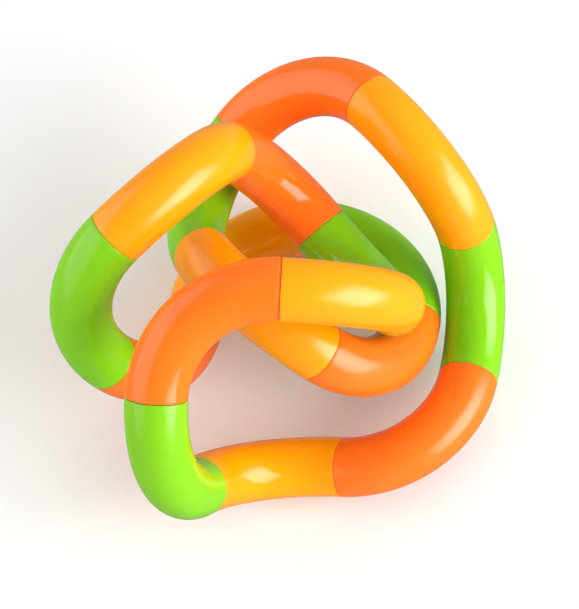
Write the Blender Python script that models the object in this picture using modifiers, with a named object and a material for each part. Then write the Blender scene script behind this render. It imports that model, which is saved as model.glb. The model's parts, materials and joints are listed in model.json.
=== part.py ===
"""Looped twist puzzle: eighteen identical curved elbows, snapped end to end into one closed loop.

Every elbow is a hollow quarter bend with a split snap peg on one end and a socket on the other.
A peg turns freely in the next elbow's socket, so the loop twists at eighteen swivels.  Here it
lies in a loose tangle on three of its elbows.  Units are metres, +Z is up, and the origin is on
the ground, in the middle of the object's box.
"""
from math import atan2, cos, pi, radians, sin

import bmesh
import bpy
import numpy as np
from mathutils import Matrix, Vector

NAME = "loop_twist_puzzle"

# The elbow.
BEND_RADIUS = 0.022          # centreline of the quarter bend
TUBE_RADIUS = 0.006
WALL = 0.0015
RIM_CHAMFER = 0.0003         # broken edge on both rims
RIM_GAP = 0.0005             # between the rims of two elbows that are snapped together

# The socket: an end wall with a hole, just inside the rim.
SOCKET_HOLE = 0.00385        # radius
SOCKET_RECESS = 0.0002       # of the wall behind the rim
SOCKET_WALL = 0.0014

# The peg: a collar that shows in the gap, a shank through the hole and a bead behind the wall.
COLLAR_RADIUS = 0.0054
COLLAR_STAND = 0.00035       # of the collar's face beyond its own rim
PEG_WALL = 0.0014            # end wall that carries the peg, behind the rim
SHANK_RADIUS = 0.00372
BEAD_RADIUS = 0.00415
BEAD_SLACK = 0.00012         # end play between the bead and the socket wall
BEAD_RISE = 0.0001
BEAD_WIDTH = 0.0004
PEG_TIP_LENGTH = 0.00115     # taper beyond the bead
PEG_TIP_RADIUS = 0.0033
PEG_BORE = 0.0025            # radius of the hole down the peg
SLOT_WIDTH = 0.0010          # the two crossed slots that split the peg into four fingers
SLOT_START = 0.0009          # beyond the middle of the gap

# Mesh fineness.
TUBE_SIDES = 16
TUBE_STEPS = 6
PEG_SIDES = 12
SOCKET_SIDES = 16
MERGE_DISTANCE = 1e-6
END_TOLERANCE = 1e-4         # radians of the bend within which a vertex is on an end
SHARP_DEG = 40               # edges that turn further than this stay sharp

# The loop, counted from an orange elbow at the back.  TWIST_DEG[i] is how far the swivel where
# elbow i starts is turned, in degrees: at 0 it carries on round the same circle as the one before.
TWIST_DEG = [26, 68, -129, 92, -133, 84, -69, 75, 47, -16, -88, 43, -56, 128, -12, -40, 36, -89]
CLOSING_SWIVELS = [0, 1, 4, 5, 7, 10]    # trimmed by less than a degree so that the loop closes
FEET = [4, 13, 14]                       # the elbows that touch the ground
HEADING_SWIVEL = 7                       # its axis fixes which way the loop faces
HEADING_DEG = -3.0                       # of that axis, from +X
ROOT = 13                                # the elbow that the others are hung from
OPEN_SWIVEL = 6                          # left unsnapped, so that the elbows form a tree
TRIM_ROUNDS = 12                         # of the search that closes the loop
SETTLE_ROUNDS = 200                      # of the search for the plane that it rests on

COLOURS = {
    "orange": (1.0, 0.20, 0.008),
    "yellow": (0.98, 0.40, 0.004),
    "green": (0.24, 0.63, 0.006),
}
ROUGHNESS = 0.18

COUNT = len(TWIST_DEG)
COLOUR_ORDER = list(COLOURS)
QUARTER = pi / 2


def clear_scene():
    for obj in list(bpy.data.objects):
        bpy.data.objects.remove(obj, do_unlink=True)


def new_collection(name):
    collection = bpy.data.collections.new(name)
    bpy.context.scene.collection.children.link(collection)
    return collection


def new_material(name):
    material = bpy.data.materials.new(name + "_plastic")
    material.use_nodes = True
    shader = material.node_tree.nodes["Principled BSDF"]
    shader.inputs["Base Color"].default_value = (*COLOURS[name], 1.0)
    shader.inputs["Roughness"].default_value = ROUGHNESS
    shader.inputs["Metallic"].default_value = 0.0
    return material


# ---------------------------------------------------------------- the shape of one elbow

def mesh_object(name, bm, collection):
    mesh = bpy.data.meshes.new(name)
    bmesh.ops.recalc_face_normals(bm, faces=bm.faces)
    bm.to_mesh(mesh)
    bm.free()
    obj = bpy.data.objects.new(name, mesh)
    collection.objects.link(obj)
    return obj


def bent_tube(collection):
    """Quarter bend from the origin along +X round to +Y, with a ring of wall as its section."""
    inset = RIM_GAP / 2 / BEND_RADIUS
    bend_centre = Vector((0, BEND_RADIUS, 0))
    turn_in = Matrix.Rotation(inset, 4, "Z")
    section = Matrix.Translation(bend_centre) @ turn_in @ Matrix.Translation(-bend_centre)
    section = section @ Matrix.Rotation(QUARTER, 4, "Y")
    bm = bmesh.new()
    for radius in (TUBE_RADIUS, TUBE_RADIUS - WALL):
        bmesh.ops.create_circle(bm, segments=TUBE_SIDES, radius=radius, matrix=section)
    ring = bmesh.ops.bridge_loops(bm, edges=bm.edges)["faces"]
    edges = {edge for face in ring for edge in face.edges}
    bmesh.ops.spin(bm, geom=ring + list(edges), cent=bend_centre, axis=(0, 0, 1),
                   angle=QUARTER - 2 * inset, steps=TUBE_STEPS)
    break_rims(bm, bend_centre, inset)
    return mesh_object("elbow", bm, collection)


def break_rims(bm, bend_centre, inset):
    """Chamfers the outer edge of both ends."""
    def at_end(vert):
        arm = vert.co - bend_centre
        swing = atan2(arm.x, -arm.y)
        return min(abs(swing - inset), abs(swing - QUARTER + inset)) < END_TOLERANCE

    def outside(vert):
        arm = vert.co - bend_centre
        across = Vector((arm.xy.length - BEND_RADIUS, arm.z))
        return across.length > TUBE_RADIUS - WALL / 2

    rims = [edge for edge in bm.edges
            if all(at_end(vert) and outside(vert) for vert in edge.verts)]
    bmesh.ops.bevel(bm, geom=rims, offset=RIM_CHAMFER, segments=1, affect="EDGES")


def turned(name, outline, sides, collection):
    """A ring-shaped solid: a closed outline of (along, radius) points turned about Z."""
    bm = bmesh.new()
    points = [bm.verts.new((radius, 0, along)) for along, radius in outline]
    for here, there in zip(points, points[1:] + points[:1]):
        bm.edges.new((here, there))
    obj = mesh_object(name, bm, collection)
    screw = obj.modifiers.new("turn", "SCREW")
    screw.axis = "Z"
    screw.angle = 2 * pi
    screw.steps = screw.render_steps = sides
    screw.use_merge_vertices = True
    screw.merge_threshold = MERGE_DISTANCE
    return obj


def socket_wall(collection):
    """End wall with the hole that a peg snaps through, in the elbow's +X start."""
    face = RIM_GAP / 2 + SOCKET_RECESS
    edge = TUBE_RADIUS - WALL / 2
    outline = [
        (face, SOCKET_HOLE), (face, edge),
        (face + SOCKET_WALL, edge), (face + SOCKET_WALL, SOCKET_HOLE),
    ]
    wall = turned("socket_wall", outline, SOCKET_SIDES, collection)
    wall.matrix_world = Matrix.Rotation(QUARTER, 4, "Y")
    return wall


def snap_peg(collection):
    """Hollow split peg and its collar, on the elbow's +Y end."""
    rim = -RIM_GAP / 2
    bead = RIM_GAP / 2 + SOCKET_RECESS + SOCKET_WALL + BEAD_SLACK
    crest = bead + BEAD_RISE
    tip = crest + BEAD_WIDTH + PEG_TIP_LENGTH
    outline = [
        (rim - PEG_WALL, PEG_BORE), (rim - PEG_WALL, COLLAR_RADIUS),
        (rim + COLLAR_STAND, COLLAR_RADIUS), (rim + COLLAR_STAND, SHANK_RADIUS),
        (bead, SHANK_RADIUS), (crest, BEAD_RADIUS), (crest + BEAD_WIDTH, BEAD_RADIUS),
        (tip, PEG_TIP_RADIUS), (tip, PEG_BORE),
    ]
    peg = turned("peg", outline, PEG_SIDES, collection)
    for number, across in enumerate((0, QUARTER)):
        bm = bmesh.new()
        bmesh.ops.create_cube(bm, size=1.0)
        slot = mesh_object(f"slot_{number}", bm, collection)
        length = 2 * (tip - SLOT_START)
        size = Matrix.Diagonal((SLOT_WIDTH, 4 * BEAD_RADIUS, length, 1))
        slot.matrix_world = (Matrix.Translation((0, 0, tip)) @ Matrix.Rotation(across, 4, "Z") @ size)
        combine(peg, slot, "DIFFERENCE")
    finished = evaluated(peg, "finished_peg", collection)
    place = Matrix.Translation((BEND_RADIUS, BEND_RADIUS, 0))
    finished.matrix_world = place @ Matrix.Rotation(-QUARTER, 4, "X")
    return finished


def combine(obj, tool, operation):
    boolean = obj.modifiers.new(tool.name, "BOOLEAN")
    boolean.operation = operation
    boolean.solver = "EXACT"
    boolean.object = tool
    tool.display_type = "WIRE"
    tool.hide_render = True


def evaluated(obj, name, collection):
    """The object with its modifiers applied, as a new mesh object in the same place."""
    bpy.context.view_layer.update()
    source = obj.evaluated_get(bpy.context.evaluated_depsgraph_get())
    mesh = bpy.data.meshes.new_from_object(source)
    mesh.name = name
    result = bpy.data.objects.new(name, mesh)
    result.matrix_world = obj.matrix_world
    collection.objects.link(result)
    return result


def elbow_mesh(name, with_peg, collection):
    elbow = bent_tube(collection)
    combine(elbow, socket_wall(collection), "UNION")
    if with_peg:
        combine(elbow, snap_peg(collection), "UNION")
    mesh = evaluated(elbow, name, collection).data
    mesh.shade_smooth()
    mesh.set_sharp_from_angle(angle=radians(SHARP_DEG))
    return mesh


# ---------------------------------------------------------------- how the loop lies

def swivel_axes(twists):
    """Directions of the swivel axes round the loop, each square to the one before.

    Two more are given after the last: they repeat the first two when the loop is closed.
    """
    axes = [np.array((1.0, 0.0, 0.0)), np.array((0.0, 1.0, 0.0))]
    for twist in [*twists[1:], twists[0]]:
        before, here = axes[-2], axes[-1]
        axes.append(np.cross(before, here) * sin(twist) - before * cos(twist))
    return np.array(axes)


def misclosure(twists):
    axes = swivel_axes(twists)
    return np.concatenate((axes[COUNT] - axes[0], axes[COUNT + 1] - axes[1],
                           axes[:COUNT].sum(axis=0)))


def closed_twists():
    """The whole-degree twists, with the closing swivels trimmed by Newton's method."""
    twists = [radians(twist) for twist in TWIST_DEG]
    nudge = 1e-6
    for _ in range(TRIM_ROUNDS):
        error = misclosure(twists)
        slopes = []
        for swivel in CLOSING_SWIVELS:
            moved = list(twists)
            moved[swivel] += nudge
            slopes.append((misclosure(moved) - error) / nudge)
        steps = np.linalg.lstsq(np.array(slopes).T, -error, rcond=None)[0]
        for swivel, step in zip(CLOSING_SWIVELS, steps):
            twists[swivel] += step
    return twists


def swivel_points(axes):
    """Where the swivels are: each elbow runs from one to the next."""
    points = [np.zeros(3)]
    for start, end in zip(axes[:COUNT], axes[1:COUNT + 1]):
        points.append(points[-1] + BEND_RADIUS * (start + end))
    return np.array(points)


def lowest_point(elbow, down, axes, points):
    start, end = axes[elbow], axes[elbow + 1]
    swing = min(max(atan2(down @ start, -(down @ end)), 0.0), QUARTER)
    return points[elbow] + BEND_RADIUS * (start * sin(swing) + end * (1 - cos(swing)))


def laid_down(axes, points):
    """Rotation that rests the loop on its feet and turns it to its heading."""
    middle = points.mean(axis=0)
    down = sum(points[foot] + points[foot + 1] for foot in FEET) / (2 * len(FEET)) - middle
    down /= np.linalg.norm(down)
    for _ in range(SETTLE_ROUNDS):
        first, second, third = (lowest_point(foot, down, axes, points) for foot in FEET)
        square = np.cross(second - first, third - first)
        down = square / np.linalg.norm(square) * np.sign(square @ (first - middle))
    up = -down
    along = axes[HEADING_SWIVEL] - up * (up @ axes[HEADING_SWIVEL])
    along /= np.linalg.norm(along)
    turn = Matrix.Rotation(radians(HEADING_DEG), 3, "Z")
    return turn @ Matrix((along, np.cross(up, along), up))


def frame_at(point, along, across):
    """Matrix with its X axis along and its Y axis across, at a point."""
    normal = along.cross(across)
    matrix = Matrix((along, across, normal)).transposed().to_4x4()
    matrix.translation = point
    return matrix


def elbow_frames():
    axes = swivel_axes(closed_twists())
    points = swivel_points(axes)
    turn = laid_down(axes, points)
    axes = [turn @ Vector(axis) for axis in axes]
    points = [turn @ Vector(point) for point in points]
    return [frame_at(points[i], axes[i], axes[i + 1]) for i in range(COUNT)]


def box_bottom_centre(mesh, frames):
    corners = [frame @ vert.co for frame in frames for vert in mesh.vertices]
    low = [min(corner[i] for corner in corners) for i in range(3)]
    high = [max(corner[i] for corner in corners) for i in range(3)]
    return Vector(((low[0] + high[0]) / 2, (low[1] + high[1]) / 2, low[2]))


# ---------------------------------------------------------------- the assembly

def colour_of(elbow):
    return COLOUR_ORDER[elbow % len(COLOUR_ORDER)]


def node_name(elbow):
    return f"elbow_{elbow + 1:02d}_{colour_of(elbow)}"


def add_elbow(elbow, mesh, frame, material, collection):
    own_mesh = mesh.copy()
    own_mesh.name = node_name(elbow)
    own_mesh.materials.clear()
    own_mesh.materials.append(material)
    obj = bpy.data.objects.new(node_name(elbow), own_mesh)
    obj.matrix_world = frame
    collection.objects.link(obj)
    return obj


def hang(child, parent, swivel, frames, collection):
    """Parents an elbow to its neighbour through an empty on the axis of their swivel."""
    before = (swivel - 1) % COUNT
    pivot = bpy.data.objects.new(f"swivel_{before + 1:02d}_{swivel + 1:02d}", None)
    pivot.empty_display_type = "SINGLE_ARROW"
    pivot.empty_display_size = TUBE_RADIUS
    collection.objects.link(pivot)
    pivot.matrix_world = frames[swivel]
    bpy.context.view_layer.update()
    for obj, above in ((pivot, parent), (child, pivot)):
        obj.parent = above
        obj.matrix_parent_inverse = above.matrix_world.inverted()
        bpy.context.view_layer.update()


def build():
    clear_scene()
    parts = new_collection(NAME)
    tools = new_collection("cutters")
    meshes = {peg: elbow_mesh("pegged" if peg else "plain", peg, tools) for peg in (True, False)}
    for obj in list(tools.objects):
        bpy.data.objects.remove(obj, do_unlink=True)

    frames = elbow_frames()
    origin = box_bottom_centre(meshes[True], frames)
    frames = [Matrix.Translation(-origin) @ frame for frame in frames]
    materials = {name: new_material(name) for name in COLOURS}
    unpegged = (OPEN_SWIVEL - 1) % COUNT
    elbows = [add_elbow(i, meshes[i != unpegged], frames[i], materials[colour_of(i)], parts)
              for i in range(COUNT)]

    # From the root the elbows hang one from the next, in both directions, to the open swivel.
    here = ROOT
    while (here + 1) % COUNT != OPEN_SWIVEL:
        there = (here + 1) % COUNT
        hang(elbows[there], elbows[here], there, frames, parts)
        here = there
    here = ROOT
    while here != OPEN_SWIVEL:
        there = (here - 1) % COUNT
        hang(elbows[there], elbows[here], here, frames, parts)
        here = there


build()
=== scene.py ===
"""Looks of the looped twist puzzle: eighteen glossy moulded elbows on a pale studio floor.

Each CAD elbow is replaced by a fine one of the same size in the same place, which its own two
swivels give.  Units are metres, +Z is up.
"""
import json
from math import asin, cos, pi, radians, sin, sqrt, tan

import bmesh
import bpy
from mathutils import Euler, Matrix, Vector


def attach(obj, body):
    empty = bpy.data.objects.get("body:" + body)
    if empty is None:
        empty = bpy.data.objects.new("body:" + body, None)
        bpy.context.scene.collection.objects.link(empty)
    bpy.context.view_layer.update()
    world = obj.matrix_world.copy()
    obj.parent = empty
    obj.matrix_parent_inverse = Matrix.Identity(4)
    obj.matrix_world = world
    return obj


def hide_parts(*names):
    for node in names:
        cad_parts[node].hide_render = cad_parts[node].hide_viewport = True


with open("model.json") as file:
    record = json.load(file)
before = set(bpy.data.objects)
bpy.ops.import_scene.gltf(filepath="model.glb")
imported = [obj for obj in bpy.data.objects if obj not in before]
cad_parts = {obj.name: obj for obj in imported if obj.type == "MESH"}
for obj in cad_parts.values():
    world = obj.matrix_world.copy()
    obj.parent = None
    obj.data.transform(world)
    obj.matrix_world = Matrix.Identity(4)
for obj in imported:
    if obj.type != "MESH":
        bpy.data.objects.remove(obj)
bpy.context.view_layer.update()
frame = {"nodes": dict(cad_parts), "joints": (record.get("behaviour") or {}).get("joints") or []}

# The elbow, as in the CAD.
TUBE_RADIUS = 0.006
WALL = 0.0015
SOCKET_HOLE = 0.00385
SOCKET_RECESS = 0.00045      # of the socket wall behind the swivel's plane
SOCKET_WALL = 0.0014
PEG_WALL = 0.0014
SHANK_RADIUS = 0.00372
BEAD_START = 0.00197         # beyond the swivel's plane, as are the next two
BEAD_CREST = 0.00207
BEAD_END = 0.00247
BEAD_RADIUS = 0.00415
PEG_TIP = 0.00362
PEG_TIP_RADIUS = 0.0033
PEG_BORE = 0.0025
SLOT_WIDTH = 0.0010
SLOT_START = 0.0009

# What only shows close up.
RIM_ROUND = 0.00022          # radius of the rounded rims
GAP = 0.00004                # from a rim to its swivel's plane
LOOSE_GAPS = {"swivel_07_08": 0.0002, "swivel_11_12": 0.0001}
OPEN_GAP = 0.00005           # at the one swivel that isn't snapped together
GROOVE_DEPTH = 0.0001        # from the tube's outside down to the collar in a closed gap
GROOVE_SHARE = 0.75          # of the gap on the elbow's side, added to the depth of the groove
COLLAR_SHARE = 0.75          # of the gap beyond the swivel's plane, filled by the collar
FINGER_ROOT = 0.0004         # how far the fingers reach back into the peg's shank
SHARP_DEGREES = 40

# Mesh fineness.
SIDES = 72
BEND_STEPS = 40
ROUND_STEPS = 5
FINGER_STEPS = 8

COUNT = 18
QUARTER = pi / 2
COLOURS = {
    "orange": (1.0, 0.17, 0.010),
    "yellow": (0.98, 0.33, 0.001),
    "green": (0.20, 0.53, 0.007),
}
# How far red, green and blue light creep inside each plastic, next to each other.
CREEP = {
    "orange": (1.0, 0.22, 0.04),
    "yellow": (1.0, 0.40, 0.04),
    "green": (0.45, 1.0, 0.06),
}
CREEP_DEPTH = 0.0015
CREEP_SHARE = 0.15
PLASTIC_IOR = 1.53
PIGMENT_SPREAD = 0.04        # either side of the plastic's colour
SPECK_RADII = (0.012, 0.026)  # of its dark core and its soft edge, in cells of the speck pattern
SPECK_STRENGTH = 0.55
SPECK_DARKNESS = 0.35
POLISHED, RUBBED = 0.11, 0.22   # roughness off the mould, and along the outside of the bends
SMEAR_SHARE = 0.5
RIPPLE_STRENGTH = 0.05
RIPPLE_HEIGHT = 0.0002

# The camera: where it looks, and from where.
LOOK_AT = (0.00094, -0.00047, 0.020)
VIEW_DISTANCE = 0.5155
VIEW_ELEVATION = 67.6
VIEW_HEADING = 2.24
VIEW_ROLL = -2.25
LENS = 151.54

# Two softboxes stand to the sides, low enough to mirror in the flanks of the tubes.  The copy of
# the right one that lights is far off, because the floor behind it gets none of its light.
SOFTBOXES = {
    # name: (azimuth, elevation) of the middle, (width, height) in degrees, then the radiance
    # and distance of the copy that mirrors and of the copy that lights
    "right": ((-19, 21), (62, 39), (5.4, 0.75), (7.7, 1.9)),
    "left": ((177, 22), (104, 50), (1.5, 0.75), (3.4, 0.75)),
}
SOFTBOX_FALLOFF = 0.85       # share of its light that a softbox loses towards its sides
CEILING_DIRECTION = (60, 72)  # azimuth, elevation
CEILING_DISTANCE = 4.0
CEILING_SIDE = 6.0
CEILING_FILL = 1.0
ROOM_GLOW = 0.08
PAPER_GLOW = 0.22
HORIZON_BLUR = 0.03

# The white paper that the loop lies on.
FLOOR_RADIUS = 1.8
COVE_ROUND = 0.8
COVE_STEPS = 12
COVE_SIDES = 96
COVE_MERGE = 0.0001
PAPER_ALBEDO = 0.84
WALL_HEIGHT = 3.0


# ---------------------------------------------------------------- where the elbows are

def swivel_between(before, after):
    return f"swivel_{before:02d}_{after:02d}"


def elbow_frames():
    """A matrix for each elbow: its origin on its first swivel, +X and +Y along its two swivels."""
    swivels = {joint["name"]: joint for joint in frame["joints"]}
    points, axes = {}, {}
    for elbow in range(1, COUNT + 1):
        joint = swivels.get(swivel_between((elbow - 2) % COUNT + 1, elbow))
        if joint:
            points[elbow] = Vector(joint["pos_m"])
            axes[elbow] = Vector(joint["axis"]).normalized()

    def after(elbow):
        return elbow % COUNT + 1

    frames = {}
    for elbow in points:
        if after(elbow) in points:
            chord = points[after(elbow)] - points[elbow]
            start, end = (axis * (1 if axis @ chord > 0 else -1)
                          for axis in (axes[elbow], axes[after(elbow)]))
            frames[elbow] = (points[elbow], start, end)
    bend = sum((points[after(e)] - points[e]).length for e in frames) / len(frames) / sqrt(2)

    # The two elbows at the open swivel: its point and axis follow from their outer swivels.
    opened = next(e for e in range(1, COUNT + 1) if e not in points)
    last = (opened - 2) % COUNT + 1
    before = (last - 2) % COUNT + 1
    start, end = frames[before][2], frames[after(opened)][1]
    gap = points[after(opened)] - points[last]
    middle = ((gap - bend * (start + end)) / (2 * bend)).normalized()
    frames[last] = (points[last], start, middle)
    frames[opened] = (points[last] + bend * (start + middle), middle, end)
    return bend, opened, {e: placed(*frames[e]) for e in sorted(frames)}


def placed(point, along, across):
    matrix = Matrix((along, across, along.cross(across))).transposed().to_4x4()
    matrix.translation = point
    return matrix


# ---------------------------------------------------------------- the mesh of one elbow

def rounded_rim(gap):
    """(along, radius) points from the rim's face round its edge to the tube's outside."""
    turns = [QUARTER * (1 - step / ROUND_STEPS) for step in range(ROUND_STEPS + 1)]
    return [(gap + RIM_ROUND * (1 - cos(QUARTER - turn)), TUBE_RADIUS - RIM_ROUND * (1 - cos(turn)))
            for turn in turns]


def elbow_profile(bend, start_gap, end_gap, with_peg):
    """The closed outline that is swept round the bend, as (swing, beyond, radius) points.

    A point stands beyond the section at its swing round the bend, square to it.  So all that is
    at an end is square to that end's swivel.  The collar fills most of the gap to the next
    elbow, whose rim stands as far beyond the swivel's plane.
    """
    bore = TUBE_RADIUS - WALL
    start = [(0, along, radius) for along, radius in rounded_rim(start_gap)]
    end = [(QUARTER, -along, radius) for along, radius in reversed(rounded_rim(end_gap))]
    outside = [(QUARTER * step / BEND_STEPS, 0, TUBE_RADIUS) for step in range(1, BEND_STEPS)]
    inner_face = -end_gap - PEG_WALL
    collar_radius = TUBE_RADIUS - GROOVE_DEPTH - GROOVE_SHARE * end_gap
    collar_face = COLLAR_SHARE * end_gap
    if with_peg:
        peg = [(-end_gap, collar_radius), (collar_face, collar_radius),
               (collar_face, SHANK_RADIUS), (SLOT_START, SHANK_RADIUS), (SLOT_START, PEG_BORE)]
    else:
        peg = [(-end_gap, PEG_BORE)]
    peg += [(inner_face, PEG_BORE), (inner_face, bore)]
    inner_start = SOCKET_RECESS + SOCKET_WALL
    first, last = (inner_start + WALL) / bend, QUARTER - (PEG_WALL + WALL) / bend
    inside_steps = BEND_STEPS // 2
    inside = [(last + (first - last) * step / inside_steps, 0, bore)
              for step in range(inside_steps + 1)]
    socket = [(inner_start, bore), (inner_start, SOCKET_HOLE), (SOCKET_RECESS, SOCKET_HOLE),
              (SOCKET_RECESS, bore), (start_gap, bore)]
    return (start + outside + end + [(QUARTER, along, radius) for along, radius in peg]
            + inside + [(0, along, radius) for along, radius in socket])


def on_bend(swing, beyond, radius, turn, bend):
    """A point of the elbow, in its own frame."""
    outward = Vector((sin(swing), -cos(swing), 0))
    tangent = Vector((cos(swing), sin(swing), 0))
    centre = Vector((0, bend, 0)) + outward * bend + tangent * beyond
    return centre + outward * (radius * cos(turn)) + Vector((0, 0, radius * sin(turn)))


def swept(bm, profile, bend, uv):
    rings = []
    for swing, beyond, radius in profile:
        rings.append([bm.verts.new(on_bend(swing, beyond, radius, 2 * pi * side / SIDES, bend))
                      for side in range(SIDES)])
    for i, ring in enumerate(rings):
        following = rings[(i + 1) % len(rings)]
        for side in range(SIDES):
            beside = (side + 1) % SIDES
            face = bm.faces.new((ring[side], ring[beside], following[beside], following[side]))
            corners = ((i, side), (i, side + 1), (i + 1, side + 1), (i + 1, side))
            for loop, (row, column) in zip(face.loops, corners):
                swing, beyond, _ = profile[row % len(profile)]
                loop[uv].uv = ((swing + beyond / bend) / QUARTER, column / SIDES)


def finger_outline():
    root = SLOT_START - FINGER_ROOT
    return [(root, SHANK_RADIUS), (BEAD_START, SHANK_RADIUS), (BEAD_CREST, BEAD_RADIUS),
            (BEAD_END, BEAD_RADIUS), (PEG_TIP, PEG_TIP_RADIUS), (PEG_TIP, PEG_BORE),
            (root, PEG_BORE)]


def add_fingers(bm, bend):
    """The peg's four fingers, with parallel slots between them."""
    outline = finger_outline()
    for quarter in range(4):
        rows = []
        for step in range(FINGER_STEPS + 1):
            row = []
            for along, radius in outline:
                edge = asin(SLOT_WIDTH / 2 / radius)
                turn = quarter * QUARTER + edge + (QUARTER - 2 * edge) * step / FINGER_STEPS
                row.append(bm.verts.new(on_bend(QUARTER, along, radius, turn, bend)))
            rows.append(row)
        for here, there in zip(rows, rows[1:]):
            for i in range(len(outline)):
                j = (i + 1) % len(outline)
                bm.faces.new((here[i], here[j], there[j], there[i]))
        bm.faces.new(rows[0][::-1])
        bm.faces.new(rows[-1])


def elbow_mesh(name, bend, start_gap, end_gap, with_peg):
    bm = bmesh.new()
    uv = bm.loops.layers.uv.new("bend")
    swept(bm, elbow_profile(bend, start_gap, end_gap, with_peg), bend, uv)
    if with_peg:
        add_fingers(bm, bend)
    bmesh.ops.recalc_face_normals(bm, faces=bm.faces)
    mesh = bpy.data.meshes.new(name)
    bm.to_mesh(mesh)
    bm.free()
    mesh.shade_smooth()
    mesh.set_sharp_from_angle(angle=radians(SHARP_DEGREES))
    return mesh


# ---------------------------------------------------------------- materials

def glossy_plastic(name, colour):
    """Opaque pigmented plastic off a polished mould, with a few specks and faint ripples."""
    material = bpy.data.materials.new(name + "_plastic")
    material.use_nodes = True
    tree = material.node_tree
    nodes, links = tree.nodes, tree.links
    shader = nodes["Principled BSDF"]
    shader.inputs["Metallic"].default_value = 0.0
    shader.inputs["IOR"].default_value = PLASTIC_IOR
    shader.inputs["Subsurface Weight"].default_value = CREEP_SHARE
    shader.inputs["Subsurface Radius"].default_value = CREEP[name]
    shader.inputs["Subsurface Scale"].default_value = CREEP_DEPTH

    def node(kind, **values):
        made = nodes.new(kind)
        for key, value in values.items():
            if key in made.inputs:
                made.inputs[key].default_value = value
            else:
                setattr(made, key, value)
        return made

    place = node("ShaderNodeTexCoord")
    # Pigment: a barely uneven mix, with a rare dark speck.
    cloud = node("ShaderNodeTexNoise", Scale=90.0, Detail=3.0, Roughness=0.6)
    links.new(place.outputs["Object"], cloud.inputs["Vector"])
    mix = node("ShaderNodeMix", data_type="RGBA")
    thin, thick = 1 - PIGMENT_SPREAD, 1 + PIGMENT_SPREAD
    mix.inputs["A"].default_value = (*(thin * c for c in colour), 1)
    mix.inputs["B"].default_value = (*(min(thick * c, 1.0) for c in colour), 1)
    links.new(cloud.outputs["Fac"], mix.inputs["Factor"])
    cells = node("ShaderNodeTexVoronoi", Scale=95.0, Randomness=1.0)
    links.new(place.outputs["Object"], cells.inputs["Vector"])
    speck = node("ShaderNodeMapRange")
    speck.inputs["From Min"].default_value = SPECK_RADII[0]
    speck.inputs["From Max"].default_value = SPECK_RADII[1]
    speck.inputs["To Min"].default_value = SPECK_STRENGTH
    speck.inputs["To Max"].default_value = 0.0
    links.new(cells.outputs["Distance"], speck.inputs["Value"])
    specked = node("ShaderNodeMix", data_type="RGBA")
    specked.inputs["B"].default_value = (*(SPECK_DARKNESS * c for c in colour), 1)
    links.new(speck.outputs["Result"], specked.inputs["Factor"])
    links.new(mix.outputs["Result"], specked.inputs["A"])
    links.new(specked.outputs["Result"], shader.inputs["Base Color"])
    # Gloss: polished, but rubbed duller along the outside of the bend, and slightly uneven.
    bent = node("ShaderNodeUVMap", uv_map="bend")
    split = node("ShaderNodeSeparateXYZ")
    links.new(bent.outputs["UV"], split.inputs["Vector"])
    turn = node("ShaderNodeMath", operation="MULTIPLY")
    turn.inputs[1].default_value = 2 * pi
    links.new(split.outputs["Y"], turn.inputs[0])
    outside = node("ShaderNodeMath", operation="COSINE")
    links.new(turn.outputs["Value"], outside.inputs[0])
    smear = node("ShaderNodeTexNoise", Scale=220.0, Detail=4.0, Roughness=0.65)
    links.new(place.outputs["Object"], smear.inputs["Vector"])
    worn = node("ShaderNodeMath", operation="MULTIPLY_ADD")
    worn.inputs[1].default_value = SMEAR_SHARE
    links.new(smear.outputs["Fac"], worn.inputs[0])
    links.new(outside.outputs["Value"], worn.inputs[2])
    gloss = node("ShaderNodeMapRange", interpolation_type="SMOOTHSTEP")
    gloss.inputs["From Min"].default_value = -0.1
    gloss.inputs["From Max"].default_value = 1.2
    gloss.inputs["To Min"].default_value = POLISHED
    gloss.inputs["To Max"].default_value = RUBBED
    links.new(worn.outputs["Value"], gloss.inputs["Value"])
    links.new(gloss.outputs["Result"], shader.inputs["Roughness"])
    # Relief: a soft mould ripple that runs round the tube.
    stretch = node("ShaderNodeMapping", Scale=(60.0, 3.0, 1.0))
    links.new(bent.outputs["UV"], stretch.inputs["Vector"])
    ripple = node("ShaderNodeTexNoise", Scale=1.0, Detail=2.0, Roughness=0.5)
    links.new(stretch.outputs["Vector"], ripple.inputs["Vector"])
    bump = node("ShaderNodeBump", Strength=RIPPLE_STRENGTH, Distance=RIPPLE_HEIGHT)
    links.new(ripple.outputs["Fac"], bump.inputs["Height"])
    links.new(bump.outputs["Normal"], shader.inputs["Normal"])
    return material


# ---------------------------------------------------------------- the pieces

def link(obj):
    bpy.context.scene.collection.objects.link(obj)
    return obj


def add_elbows():
    bend, opened, frames = elbow_frames()
    materials = {name: glossy_plastic(name, colour) for name, colour in COLOURS.items()}
    names = {int(node.split("_")[1]): node for node in frame["nodes"]}
    for elbow, matrix in frames.items():
        before = (elbow - 2) % COUNT + 1
        after = elbow % COUNT + 1
        colour = names[elbow].split("_")[2]
        gaps = [OPEN_GAP if pair[1] == opened else LOOSE_GAPS.get(swivel_between(*pair), GAP)
                for pair in ((before, elbow), (elbow, after))]
        mesh = elbow_mesh(f"moulding_{elbow:02d}", bend, *gaps, with_peg=after != opened)
        mesh.transform(matrix)
        mesh.materials.append(materials[colour])
        piece = link(bpy.data.objects.new(f"moulding_{elbow:02d}_{colour}", mesh))
        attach(piece, f"elbow_{elbow:02d}")
        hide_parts(names[elbow])


# ---------------------------------------------------------------- the studio

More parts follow.
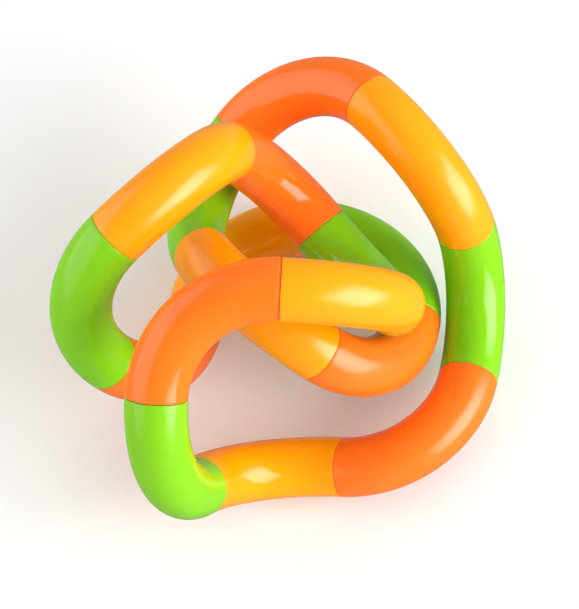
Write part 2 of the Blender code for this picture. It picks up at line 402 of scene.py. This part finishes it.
def add_cove():
    """White paper: a floor that curves up into a wall all round."""
    turns = [QUARTER * step / COVE_STEPS for step in range(COVE_STEPS + 1)]
    profile = [(0, 0)]
    profile += [(FLOOR_RADIUS + COVE_ROUND * sin(turn), COVE_ROUND * (1 - cos(turn)))
                for turn in turns]
    profile += [(FLOOR_RADIUS + COVE_ROUND, WALL_HEIGHT)]
    bm = bmesh.new()
    verts = [bm.verts.new((radius, 0, height)) for radius, height in profile]
    edges = [bm.edges.new(pair) for pair in zip(verts, verts[1:])]
    bmesh.ops.spin(bm, geom=verts + edges, axis=(0, 0, 1), angle=2 * pi,
                   steps=COVE_SIDES)
    bmesh.ops.remove_doubles(bm, verts=bm.verts, dist=COVE_MERGE)
    bmesh.ops.recalc_face_normals(bm, faces=bm.faces)
    mesh = bpy.data.meshes.new("paper_cove")
    bm.to_mesh(mesh)
    bm.free()
    mesh.shade_smooth()
    cove = link(bpy.data.objects.new("paper_cove", mesh))
    material = bpy.data.materials.new("white_paper")
    material.use_nodes = True
    shader = material.node_tree.nodes["Principled BSDF"]
    shader.inputs["Base Color"].default_value = (*[PAPER_ALBEDO] * 3, 1)
    shader.inputs["Roughness"].default_value = 0.9
    shader.inputs["Specular IOR Level"].default_value = 0.1
    mesh.materials.append(material)
    cove.visible_glossy = False


def towards(azimuth, elevation):
    azimuth, elevation = radians(azimuth), radians(elevation)
    return Vector((cos(azimuth) * cos(elevation), sin(azimuth) * cos(elevation), sin(elevation)))


def add_area_light(name, direction, distance, width, height, radiance):
    light = bpy.data.lights.new(name, "AREA")
    light.shape = "RECTANGLE"
    light.size = width
    light.size_y = height
    light.energy = radiance * pi * width * height
    obj = link(bpy.data.objects.new(name, light))
    obj.visible_camera = False
    obj.location = Vector(LOOK_AT) + direction * distance
    obj.rotation_euler = direction.to_track_quat("Z", "Y").to_euler()
    return obj


def dim_towards_sides(light):
    """A softbox's cloth is brightest across its middle, in front of the lamp."""
    light.use_nodes = True
    nodes, links = light.node_tree.nodes, light.node_tree.links
    place = nodes.new("ShaderNodeNewGeometry")
    split = nodes.new("ShaderNodeSeparateXYZ")
    links.new(place.outputs["Parametric"], split.inputs["Vector"])
    aside = nodes.new("ShaderNodeMath")
    aside.operation = "MULTIPLY_ADD"
    aside.inputs[1].default_value = 2.0
    aside.inputs[2].default_value = -1.0
    links.new(split.outputs["X"], aside.inputs[0])
    squared = nodes.new("ShaderNodeMath")
    squared.operation = "MULTIPLY"
    for socket in squared.inputs[:2]:
        links.new(aside.outputs["Value"], socket)
    strength = nodes.new("ShaderNodeMath")
    strength.operation = "MULTIPLY_ADD"
    strength.inputs[1].default_value = -SOFTBOX_FALLOFF
    strength.inputs[2].default_value = 1.0
    links.new(squared.outputs["Value"], strength.inputs[0])
    links.new(strength.outputs["Value"], nodes["Emission"].inputs["Strength"])


def add_lights():
    for name, (middle, spread, *copies) in SOFTBOXES.items():
        for part, (radiance, distance) in zip(("mirrored", "lighting"), copies):
            width, height = (2 * distance * tan(radians(angle / 2)) for angle in spread)
            box = add_area_light(f"softbox_{name}_{part}", towards(*middle), distance,
                                 width, height, radiance)
            dim_towards_sides(box.data)
            box.visible_glossy = part == "mirrored"
            box.visible_diffuse = part == "lighting"
    # The white ceiling's soft fill, which is too even to mirror in the plastic.
    fill = add_area_light("ceiling_fill", towards(*CEILING_DIRECTION), CEILING_DISTANCE,
                          CEILING_SIDE, CEILING_SIDE, CEILING_FILL)
    fill.visible_glossy = False
    add_surroundings()


def add_surroundings():
    """What the plastic mirrors besides the softboxes: a dim room above, the paper below."""
    world = bpy.data.worlds.new("studio")
    world.use_nodes = True
    nodes, links = world.node_tree.nodes, world.node_tree.links
    place = nodes.new("ShaderNodeTexCoord")
    split = nodes.new("ShaderNodeSeparateXYZ")
    links.new(place.outputs["Generated"], split.inputs["Vector"])
    blend = nodes.new("ShaderNodeMapRange")
    blend.inputs["From Min"].default_value = HORIZON_BLUR
    blend.inputs["From Max"].default_value = -HORIZON_BLUR
    blend.inputs["To Min"].default_value = ROOM_GLOW
    blend.inputs["To Max"].default_value = PAPER_GLOW
    links.new(split.outputs["Z"], blend.inputs["Value"])
    background = nodes["Background"]
    background.inputs["Color"].default_value = (1, 1, 1, 1)
    links.new(blend.outputs["Result"], background.inputs["Strength"])
    bpy.context.scene.world = world


def add_camera():
    camera = bpy.data.cameras.new("camera")
    camera.lens = LENS
    camera.clip_start = 0.01
    camera.clip_end = 20.0
    obj = link(bpy.data.objects.new("camera", camera))
    turn = Euler((radians(90 - VIEW_ELEVATION), 0, radians(VIEW_HEADING))).to_matrix()
    turn = turn @ Matrix.Rotation(radians(VIEW_ROLL), 3, "Z")
    obj.matrix_world = turn.to_4x4()
    obj.location = Vector(LOOK_AT) + turn @ Vector((0, 0, VIEW_DISTANCE))
    bpy.context.scene.camera = obj


def set_view_colours():
    view = bpy.context.scene.view_settings
    view.view_transform = "Standard"
    view.look = "None"


add_camera()
add_elbows()
add_cove()
add_lights()
set_view_colours()
